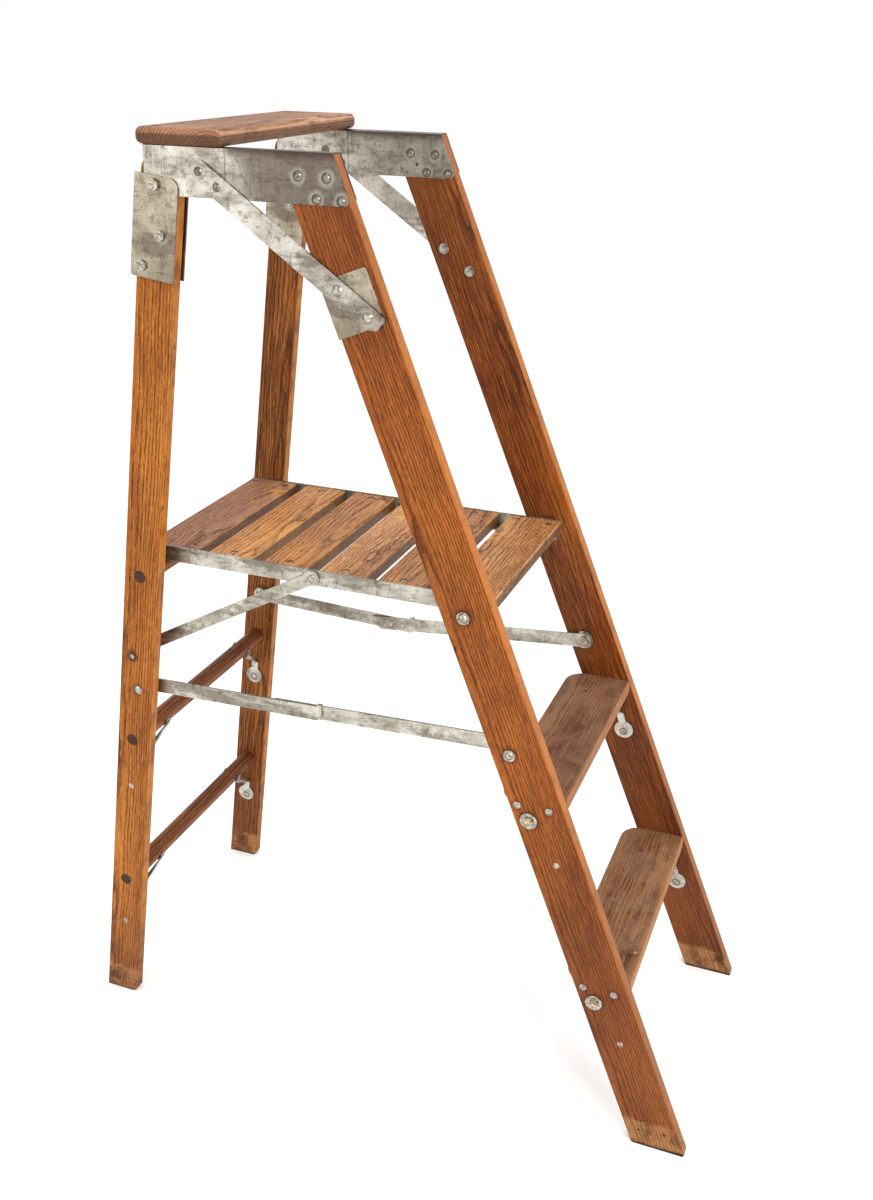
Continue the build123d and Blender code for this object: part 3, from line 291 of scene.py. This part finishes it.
class Oak(Finish):
    """Varnished oak sawn beside the pith, with marks of wear and painted light and shade laid
    over its figure.

    Growth rings are circles about a far-off pith line, bent by slow noise along the grain.
    Each ring starts with a porous dark band; fine streaks and short pores run along the
    grain."""

    def __init__(self, name, node, seed):
        super().__init__(name)
        axes = np.eye(3) if node.endswith("rung") else board_axes(node)
        along_axis, across_axis, thick_axis = axes
        points = corners(node)
        middle_across, self.half_across = middle_and_half(points @ across_axis)
        middle_thick, self.half_thick = middle_and_half(points @ thick_axis)
        self.seed = seed
        self.along = self.distance(along_axis)
        self.across = self.distance(across_axis) - middle_across
        self.thick = self.distance(thick_axis) - middle_thick
        self.x = self.distance(SIDEWAYS)
        self.y = self.distance(BACKWARDS)
        self.height = self.distance(UP)
        self.slow = self.grain(*SLOW)
        self.patch = self.grain(*PATCHES)
        self.streaks = self.grain(*STREAKS)
        self.pores = self.grain(*PORES).rise(0.50, 0.60)
        self.blotch = self.noise(self.place, 26.0, 4.0, 0.62)
        self.dents = self.noise(self.place, 60.0, 3.0).rise(0.66, 0.74)

    def grain(self, lengthways, crossways, detail, roughness, shift=1):
        where = self.point(self.along * lengthways + self.seed * shift,
                           self.across * crossways, self.thick * crossways)
        return self.noise(where, 1.0, detail, roughness)

    def across_share(self, side=None):
        """0 in the middle of the board's width and 1 at both edges, or at one side's."""
        if side is None:
            return self.across.abs() / self.half_across
        return self.across * (side / self.half_across)

    def figure(self, body, pale, flame, deepness):
        """The timber's own colour: patches, rings, streaks, pores and flecks."""
        pith_across = self.half_across * PITH_SIDES[0 if self.seed % 2 > 1 else 1]
        sway = self.grain(*SWAY, shift=3)
        pith = ((self.across - pith_across + self.slow.swing(flame) * 4) ** 2
                + (self.thick + PITH_DEPTH + sway.swing(flame)) ** 2).sqrt()
        early = (pith / RING_WIDTH + self.slow * 2.0).fract().rise(0.60, 0.05)
        flecks = self.grain(*FLECKS).rise(0.67, 0.76)
        deep = tone(*(channel * (1 - share * deepness)
                      for channel, share in zip(body, DEEP_SHARES)))
        self.colour = self.blend(self.patch.rise(0.34, 0.66), deep, body)
        self.layer(self.slow.rise(0.46, 0.74) * 0.50, pale)
        self.layer(self.streaks.rise(0.44, 0.62) * 0.48, pale)
        self.layer(early * 0.45, deep)
        early_streaks = early * self.streaks.rise(0.60, 0.38) * 0.70
        self.dark = early_streaks.most(self.pores * (early * 0.70 + 0.30))
        self.layer(self.dark, PORE)
        self.layer(flecks * 0.18, pale)

    def worn_and_sheened_edges(self, pale, edge_sheen):
        # Pale rims along both edges: worn varnish, plus painted sheen that grows with
        # edge_sheen.
        rim = self.across_share().rise(0.93, 1.0) * self.blotch.rise(0.36, 0.58)
        self.layer(rim * (0.38 + edge_sheen * 0.4), pale)

    def lit_front_edge(self, side):
        # Painted highlight: the front edge face is painted lighter orange, as where light falls
        # on it.
        face = self.across_share(side).rise(0.93, 0.985)
        self.layer(face * (0.10 + self.streaks * 0.7), LIT_EDGE_TONE)

    def darker_low_and_high(self, below, above):
        """Darker brown under one height and over another."""
        low = (self.height + self.patch.swing(0.25)).rise(below, below - 0.35)
        high = (self.height + self.patch.swing(0.10)).rise(above, above + 0.25)
        self.layer(low.most(high * 0.8) * 0.42, LOW_AND_HIGH_BROWN)

    def sunk(self, places):
        """Dirt round (x, y) places on both sides, where screw heads lie below the face."""
        around = self.spots(places, self.x.abs(), self.y) + self.blotch.swing(0.004)
        self.layer(around.rise(0.0085, 0.0045) * 0.75, GRIME)

    def foot(self, top):
        """Varnish scuffed off below a height, grime at the floor, dark nail recesses.

        Returns how far each point is scuffed, from 0 to 1."""
        ragged = self.height + self.blotch.swing(0.028) + self.streaks.swing(0.020)
        band = ragged.rise(top + 0.007, top - 0.003)
        scuffed = self.blend(self.blotch.rise(0.45, 0.68) * 0.8, FOOT_RAW, GRIME)
        scuffed = self.blend(self.dark * 0.8, scuffed, GRIME)
        self.layer(band * 0.86, scuffed)
        self.layer((self.height + self.blotch.swing(0.012)).rise(0.007, 0.001), GRIME)
        recess = (self.thick.abs() - self.half_thick + NAIL_RECESS).rise(0.0, -0.0004)
        low = self.height.rise(top + NAIL_REACH + 0.004, top + NAIL_REACH)
        inside = self.across_share().rise(0.86, 0.80)
        self.layer(low * recess * inside * 0.9, NAIL_RUST)
        return band

    def stain(self, places, inner, outer, strength):
        """Dirt round (y, z) places: full within the inner radius, gone at the outer."""
        around = self.spots(places, self.y, self.height) + self.blotch.swing(0.010)
        self.layer(around.rise(outer, inner) * strength, GRIME)

    def end_grain(self, reach):
        """End grain on the faces as far from the middle as reach."""
        faces = self.x.abs().rise(reach - 0.002, reach)
        self.layer(faces, self.blend(self.streaks.rise(0.4, 0.7), END_DARK, END_PALE))


def oak(name, node, body, pale, seed, *, flame=0.010, deepness=1.0, edge_sheen=0.0, edge_side=None,
        grey=0.0, dim=None, amber=False, sunk=None, foot=None, shade_below=None, stains=(),
        ends=None):
    """An oak material for one node, with its marks in the order in which they came."""
    wood = Oak(name, node, seed)
    wood.figure(body, pale, flame, deepness)
    wood.worn_and_sheened_edges(pale, edge_sheen)
    if edge_side is not None:
        wood.lit_front_edge(edge_side)
    if grey:
        wood.layer(wood.blotch.rise(0.30, 0.66) * grey, WEATHERED)
    if dim is not None:
        wood.darker_low_and_high(*dim)
    if amber:
        wood.layer(wood.blotch.rise(0.52, 0.70) * wood.patch.rise(0.44, 0.62) * 0.55, AMBER)
    if sunk is not None:
        wood.sunk(sunk)
    wood.layer(wood.dents * 0.30, PORE)
    rough = 0.42 + wood.blotch.swing(0.34) + wood.dark * 0.20 + grey * 0.14
    if foot is not None:
        rough = rough + wood.foot(foot) * 0.25
    if shade_below is not None:
        # Painted shade: the sides and underside, below a height just under the top face, are
        # darkened.
        wood.layer(wood.height.rise(shade_below, shade_below - 0.004) * 0.72, UNDERSIDE_SHADE)
    for stain in stains:
        wood.stain(*stain)
    if ends is not None:
        wood.end_grain(ends)
    wood.feed("Base Color", wood.colour)
    wood.feed("Roughness", rough)
    wood.fix("Coat Roughness", 0.30)
    wood.fix("Specular IOR Level", 0.12)
    wood.feed("Coat Weight", (0.09 - wood.dark * 0.06) * (1 - grey * 0.8))
    wood.relief(wood.streaks * 0.35 - wood.dark * 0.9 - wood.pores * 0.5 + wood.blotch * 0.5
                - wood.dents * 0.8, 0.0006, 0.75)
    return wood.material


# ------------------------------------------------------------------ metal
MOTTLE = tone(0.13, 0.100, 0.068)
SMEAR = tone(0.085, 0.060, 0.042)
SPATTER = tone(0.075, 0.052, 0.036)
IRON_FRONT_SHADE = tone(0.088, 0.062, 0.048)
HALO = tone(0.46, 0.43, 0.37)
RIVET_RIM = tone(0.06, 0.045, 0.035)
CREASE_SHADE = tone(0.07, 0.055, 0.045)
BOARD_SHADE = tone(0.060, 0.036, 0.030)
RUST = tone(0.135, 0.070, 0.035)
GRIT = tone(0.16, 0.14, 0.115)
PIT = tone(0.09, 0.062, 0.045)
BRASS_DARK, BRASS_PALE = tone(0.33, 0.21, 0.085), tone(0.72, 0.53, 0.26)


def sheet_metal(name, pale, dull, *, rivets=(), front_shade=None, brushed=BACKWARDS, rust=0.25,
                rough=0.34, board_edge_shade=None):
    """Old plated sheet: cloudy patches, fine rub marks, freckles of rust, and a light halo
    with a dark rim round each rivet."""
    finish = Finish(name)
    x = finish.distance(SIDEWAYS)
    y = finish.distance(BACKWARDS)
    z = finish.distance(UP)
    clouds = finish.noise(finish.place, 17.0, 5.0, 0.62)
    mottle = finish.noise(finish.place, 75.0, 4.0, 0.68)
    spatter = finish.noise(finish.place, 260.0, 3.0, 0.7)
    grit = finish.noise(finish.place, 520.0, 3.0, 0.7)
    smears = finish.noise(finish.point(y * 9 + 3, z * 34, z * 4), 1.0, 5.0, 0.70)
    direction = np.array(brushed, float) / np.linalg.norm(brushed)
    square = np.cross(direction, SIDEWAYS)
    rubs = finish.noise(finish.point(finish.distance(direction) * 12,
                                     finish.distance(square) * 620, x * 300), 1.0, 2.0, 0.6)
    finish.colour = finish.blend(clouds.rise(0.34, 0.68), dull, pale)
    finish.layer(rubs.rise(0.42, 0.72) * 0.42, pale)
    finish.layer(mottle.rise(0.50, 0.72) * 0.78, MOTTLE)
    finish.layer(smears.rise(0.48, 0.62) * 0.55, SMEAR)
    finish.layer(spatter.rise(0.58, 0.66) * 0.55, SPATTER)
    roughness = rough + clouds.swing(0.30) + mottle.swing(0.22)
    if front_shade is not None:
        # Painted shade: the iron is darkened towards its front, by strength, standing in for the
        # shade past its bend.
        far, near, strength = front_shade
        front = (y + clouds.swing(0.10)).rise(far, near)
        shade = front * (0.40 + clouds * 0.9) * strength
        finish.layer(shade, IRON_FRONT_SHADE)
        roughness = roughness + shade * 0.06
    if rivets:
        distance = finish.spots(rivets, y, z)
        halo = (distance + mottle.swing(0.008)).rise(0.0150, 0.0080)
        finish.layer(halo * 0.42, HALO)
        finish.layer(distance.rise(0.0080, 0.0070) * 0.75, RIVET_RIM)
    if board_edge_shade is not None:
        # Painted shade: a dark line along the iron's bend at the board's front edge, and painted
        # shadow of the top board on the iron at its level.
        board_edge, top = board_edge_shade
        finish.layer((y - board_edge).abs().rise(0.0016, 0.0004) * 0.5, CREASE_SHADE)
        under = (z + clouds.swing(0.016)).rise(top - 0.016, top - 0.001)
        under_board = under * y.rise(board_edge + 0.01, board_edge - 0.01)
        finish.layer(under_board * 0.85, BOARD_SHADE)
    freckles = finish.cells(finish.place, 210.0).rise(0.24, 0.12) * mottle.rise(0.45, 0.62)
    finish.layer(freckles * rust * 2, RUST)
    finish.layer(grit.rise(0.52, 0.78) * 0.30, GRIT)
    finish.feed("Base Color", finish.colour)
    finish.feed("Metallic", 1 - mottle.rise(0.60, 0.80) * 0.35)
    finish.feed("Roughness", roughness + freckles * 0.3)
    finish.relief(rubs * 0.25 + clouds * 1.4 + mottle * 0.3 + grit * 0.16 - freckles * 0.3,
                  0.0006, 0.55)
    return finish.material


def hardware(name, pale, dark, *, brass_ends=None, slots=()):
    """Bolt, rivet and screw heads: rubbed crowns, dull pits and brown dirt in the hollows.

    brass_ends is how far from the middle the brass begins; slots are the (x, y) places of
    screw heads whose sawn slots run sideways."""
    finish = Finish(name)
    mottle = finish.noise(finish.place, 190.0, 4.0, 0.65)
    pits = finish.noise(finish.place, 620.0, 3.0, 0.7)
    finish.colour = finish.blend(mottle.rise(0.38, 0.66), dark, pale)
    finish.layer(pits.rise(0.56, 0.72) * 0.6, PIT)
    if brass_ends is not None:
        brass = finish.distance(SIDEWAYS).abs().rise(brass_ends - 0.003, brass_ends)
        finish.layer(brass, finish.blend(mottle.rise(0.35, 0.62), BRASS_DARK, BRASS_PALE))
    if len(slots):
        y = finish.distance(BACKWARDS)
        nearest = None
        for _, slot_y in slots:
            distance = (y - float(slot_y)).abs()
            nearest = distance if nearest is None else nearest.least(distance)
        finish.layer(nearest.rise(0.0009, 0.0006), GRIME)
    finish.feed("Base Color", finish.colour)
    finish.feed("Roughness", 0.30 + mottle.swing(0.35) + pits.rise(0.5, 0.7) * 0.15)
    finish.feed("Metallic", 1 - pits.rise(0.56, 0.78) * 0.4)
    finish.relief(mottle * 0.6 + pits * 0.6, 0.0004, 0.6)
    return finish.material


def dress(material, *names):
    """Give the material to CAD nodes."""
    for name in names:
        slots = NODES[name].data.materials
        slots.clear()
        slots.append(material)


def both(name):
    return f"left_{name}", f"right_{name}"


# ------------------------------------------------------------------ dressing the timber
STILE_PALE = tone(0.55, 0.172, 0.022)
LEG_PALE = tone(0.64, 0.240, 0.036)
# The right-hand bodies are painted darker than the left: painted shade on the far stile and leg.
STILE_LIT_AND_SHADED_BODIES = {"left": tone(0.310, 0.078, 0.009), "right": tone(0.165, 0.032, 0.003)}
LEG_LIT_AND_SHADED_BODIES = {"left": tone(0.420, 0.125, 0.011), "right": tone(0.165, 0.037, 0.004)}
RUNG_BODY, RUNG_PALE = tone(0.215, 0.068, 0.018), tone(0.40, 0.140, 0.038)
STEP_TONES = {
    "upper_step": (tone(0.235, 0.098, 0.042), tone(0.40, 0.190, 0.090)),
    "lower_step": (tone(0.330, 0.142, 0.052), tone(0.54, 0.270, 0.115)),
}
BOARD_BODY, BOARD_PALE = tone(0.400, 0.170, 0.078), tone(0.74, 0.420, 0.250)
SLAT_TONES = (
    (tone(0.420, 0.180, 0.082), tone(0.62, 0.330, 0.180)),
    (tone(0.760, 0.310, 0.080), tone(0.96, 0.530, 0.210)),
    (tone(0.560, 0.225, 0.062), tone(0.80, 0.410, 0.150)),
    (tone(0.590, 0.255, 0.095), tone(0.86, 0.470, 0.210)),
    (tone(0.530, 0.215, 0.068), tone(0.80, 0.410, 0.160)),
    (tone(0.500, 0.205, 0.062), tone(0.74, 0.380, 0.150)),
)
STILE_FOOT_WEAR = 0.045
LEG_FOOT_WEAR = 0.051

spreader_front = JOINTS["left_spreader_turn"]["pos_m"][1:]
platform_pivot = JOINTS["platform_tilt"]["pos_m"][1:]
stile_stains = (
    ([spreader_front, platform_pivot], 0.009, 0.019, 0.55),
    (side_places("tie_rod_nuts", 0.030), 0.012, 0.022, 0.50),
    (side_places("step_screws", 0.0135), 0.006, 0.013, 0.40),
)
leg_stains = ((side_places("leg_pivot_bolts", 0.024), 0.005, 0.014, 0.75),)
for side, seed in (("left", 3.7), ("right", 8.3)):
    stile, leg = f"{side}_stile", f"{side}_leg"
    dress(oak(f"{stile}_oak", stile, STILE_LIT_AND_SHADED_BODIES[side], STILE_PALE, seed,
              foot=STILE_FOOT_WEAR, stains=stile_stains, edge_side=front_edge(stile),
              edge_sheen=0.5, dim=(0.62, 1.18)), stile)
    dress(oak(f"{leg}_oak", leg, LEG_LIT_AND_SHADED_BODIES[side], LEG_PALE, seed + 4.1,
              foot=LEG_FOOT_WEAR, stains=leg_stains, edge_sheen=0.4, deepness=0.8,
              dim=(0.32, 1.60)), leg)

slat_screw_places = plan_places("slat_screws")
for number, (body, pale) in enumerate(SLAT_TONES, start=1):
    slat = f"slat_{number}"
    low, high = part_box(slat)
    held = [place for place in slat_screw_places if low.y < place[1] < high.y]
    dress(oak(f"{slat}_oak", slat, body, pale, 1.9 * number + 0.6, grey=0.10, edge_sheen=0.3,
              flame=0.014, shade_below=float(high.z) - 0.0012, deepness=0.55, amber=True,
              sunk=held), slat)

for step, seed, grey in (("upper_step", 5.2, 0.45), ("lower_step", 6.6, 0.50)):
    dress(oak(f"{step}_oak", step, *STEP_TONES[step], seed, grey=grey,
              edge_side=front_edge(step)), step)

board_low, board_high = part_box("top_board")
board_screw_places = plan_places("board_screws")
dress(oak("top_board_oak", "top_board", BOARD_BODY, BOARD_PALE, 2.4, grey=0.25, edge_sheen=0.6,
          shade_below=float(board_high.z) - 0.006, sunk=board_screw_places), "top_board")

for number, rung in enumerate(("lower_rung", "middle_rung", "top_rung")):
    _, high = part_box(rung)
    dress(oak(f"{rung}_oak", rung, RUNG_BODY, RUNG_PALE, 4.4 + 1.7 * number, edge_sheen=0.3,
              ends=float(high.x) - 0.0005), rung)


# ------------------------------------------------------------------ dressing the metal
IRON_TONES = tone(0.66, 0.625, 0.545), tone(0.31, 0.280, 0.230)
BRACE_TONES = tone(0.66, 0.63, 0.57), tone(0.32, 0.285, 0.225)
PLATE_TONES = tone(0.50, 0.440, 0.340), tone(0.27, 0.225, 0.160)
BRACKET_TONES = tone(0.64, 0.62, 0.56), tone(0.42, 0.39, 0.33)
BAR_TONES = tone(0.62, 0.60, 0.52), tone(0.33, 0.300, 0.235)
BOLT_TONES = tone(0.56, 0.525, 0.455), tone(0.24, 0.205, 0.160)
RIVET_TONES = tone(0.36, 0.315, 0.255), tone(0.13, 0.105, 0.080)
SCREW_TONES = tone(0.72, 0.66, 0.56), tone(0.30, 0.25, 0.19)
ROD_TONES = tone(0.60, 0.58, 0.52), tone(0.33, 0.29, 0.24)
BRASS_LENGTH = 0.020         # of each end of a tie rod

iron_rivet_places = side_places("iron_rivets", 0.0150)
# Painted shade on the irons' fronts: strong on the left iron, weak on the right.
for side, strength in (("left", 0.95), ("right", 0.30)):
    dress(sheet_metal(f"{side}_iron_nickel", *IRON_TONES, rivets=iron_rivet_places,
                      front_shade=(0.26, 0.14, strength), brushed=UP,
                      board_edge_shade=(float(board_low.y), float(board_low.z))), f"{side}_iron")

brace_points = corners("left_brace")
brace_run = brace_points[brace_points[:, 1].argmax()] - brace_points[brace_points[:, 1].argmin()]
dress(sheet_metal("brace_nickel", *BRACE_TONES, rivets=side_places("brace_bolts", 0.020),
                  rust=0.15, brushed=(0, brace_run[1], brace_run[2])), *both("brace"))
dress(sheet_metal("plate_nickel", *PLATE_TONES, rivets=side_places("leg_plate_bolts", 0.024),
                  rust=0.45, brushed=(0, 0.13, 1)),
      *both("outer_leg_plate"), *both("inner_leg_plate"), *both("brace_plate"))
dress(sheet_metal("bracket_nickel", *BRACKET_TONES, brushed=UP, rust=0.15,
                  rivets=side_places("step_bracket_rivets", 0.0115)),
      "lower_step_brackets", "upper_step_brackets")
dress(sheet_metal("rung_bracket_nickel", *BRACKET_TONES, brushed=UP, rust=0.15,
                  rivets=side_places("rung_rivets", 0.0115)),
      "lower_rung_brackets", "middle_rung_brackets")
dress(sheet_metal("galvanised_bar", *BAR_TONES, rust=0.30, rough=0.40),
      *both("platform_iron"), *both("strut"), *both("spreader_front_link"),
      *both("spreader_rear_link"))

dress(hardware("worn_bolts", *BOLT_TONES),
      "brace_bolts", "hinge_bolts", "leg_plate_bolts", "platform_bolts",
      "spreader_front_bolts", "leg_pivot_bolts", "strut_rivets", "rung_rivets",
      "step_bracket_rivets", "tie_rod_nuts", "step_screws", *both("strut_bolt"),
      *both("knee_rivet"), *both("rear_link_bolt"))
dress(hardware("dark_rivets", *RIVET_TONES), "iron_rivets")
dress(hardware("slotted_slat_screws", *SCREW_TONES, slots=slat_screw_places), "slat_screws")
dress(hardware("slotted_board_screws", *SCREW_TONES, slots=board_screw_places),
      "board_screws")
_, tie_rod_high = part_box("tie_rods")
dress(hardware("tie_rod_steel", *ROD_TONES, brass_ends=float(tie_rod_high.x) - BRASS_LENGTH),
      "tie_rods")


# ------------------------------------------------------------------ floor, light and camera
FLOOR_REACH = 14.0
FLOOR_GLOW = 0.12
WHITE = tone(1.0, 1.0, 1.0)
LADDER_MIDDLE = (0.0, 0.0, 0.8)
EYE = (-1.78398, -0.68710, 1.65291)
AZIMUTH, ELEVATION, ROLL = -69.299, 24.264, 0.878      # degrees
SENSOR_WIDTH, FOCAL_LENGTH = 36.0, 52.07               # millimetres


def studio_floor():
    """A wide pale sheet under the ladder."""
    reach = FLOOR_REACH
    points = [(-reach, -reach, 0.0), (reach, -reach, 0.0), (reach, reach, 0.0),
              (-reach, reach, 0.0)]
    mesh = bpy.data.meshes.new("studio_floor")
    mesh.from_pydata(points, [], [(0, 1, 2, 3)])
    floor = bpy.data.objects.new("studio_floor", mesh)
    bpy.context.collection.objects.link(floor)
    finish = Finish("pale_floor")
    cloud = finish.noise(finish.place, 0.8, 2.0)
    finish.feed("Base Color", finish.blend(cloud, tone(0.95, 0.95, 0.95),
                                           tone(0.98, 0.98, 0.98)))
    finish.fix("Roughness", 1.0)
    finish.fix("Specular IOR Level", 0.0)
    finish.fix("Emission Strength", FLOOR_GLOW)
    finish.fix("Emission Color", WHITE)
    mesh.materials.append(finish.material)


def soft_light(name, place, size, power, warmth=(1.0, 1.0, 1.0)):
    """A square lamp that faces the ladder's middle."""
    data = bpy.data.lights.new(name, "AREA")
    data.energy, data.size, data.color = power, size, warmth
    lamp = bpy.data.objects.new(name, data)
    lamp.location = place
    towards = Vector(LADDER_MIDDLE) - Vector(place)
    lamp.rotation_euler = towards.to_track_quat("-Z", "Y").to_euler()
    bpy.context.collection.objects.link(lamp)


def studio_light():
    world = bpy.data.worlds.new("studio")
    world.use_nodes = True
    background = world.node_tree.nodes["Background"]
    background.inputs["Color"].default_value = WHITE
    background.inputs["Strength"].default_value = 1.0
    bpy.context.scene.world = world
    soft_light("key", (-2.6, -2.6, 3.0), 1.6, 75, (1.0, 0.98, 0.95))
    soft_light("fill", (-3.2, 2.2, 2.2), 2.0, 22)
    soft_light("top", (0.4, -0.2, 4.2), 1.6, 35)


def camera():
    """Camera on the left, a little in front, looking down on the ladder."""
    azimuth, elevation, roll = map(math.radians, (AZIMUTH, ELEVATION, ROLL))
    look = Vector((-math.sin(azimuth) * math.cos(elevation),
                   math.cos(azimuth) * math.cos(elevation), -math.sin(elevation)))
    right = Vector((math.cos(azimuth), math.sin(azimuth), 0.0))
    over = right.cross(look)
    turned_right = right * math.cos(roll) + over * math.sin(roll)
    turned_up = over * math.cos(roll) - right * math.sin(roll)
    turn = Matrix((turned_right, turned_up, -look)).transposed()
    data = bpy.data.cameras.new("camera")
    data.sensor_fit, data.sensor_width, data.lens = "HORIZONTAL", SENSOR_WIDTH, FOCAL_LENGTH
    eye = bpy.data.objects.new("camera", data)
    eye.matrix_world = Matrix.Translation(EYE) @ turn.to_4x4()
    bpy.context.collection.objects.link(eye)
    bpy.context.scene.camera = eye


studio_floor()
studio_light()
camera()
bpy.context.scene.view_settings.view_transform = "Standard"
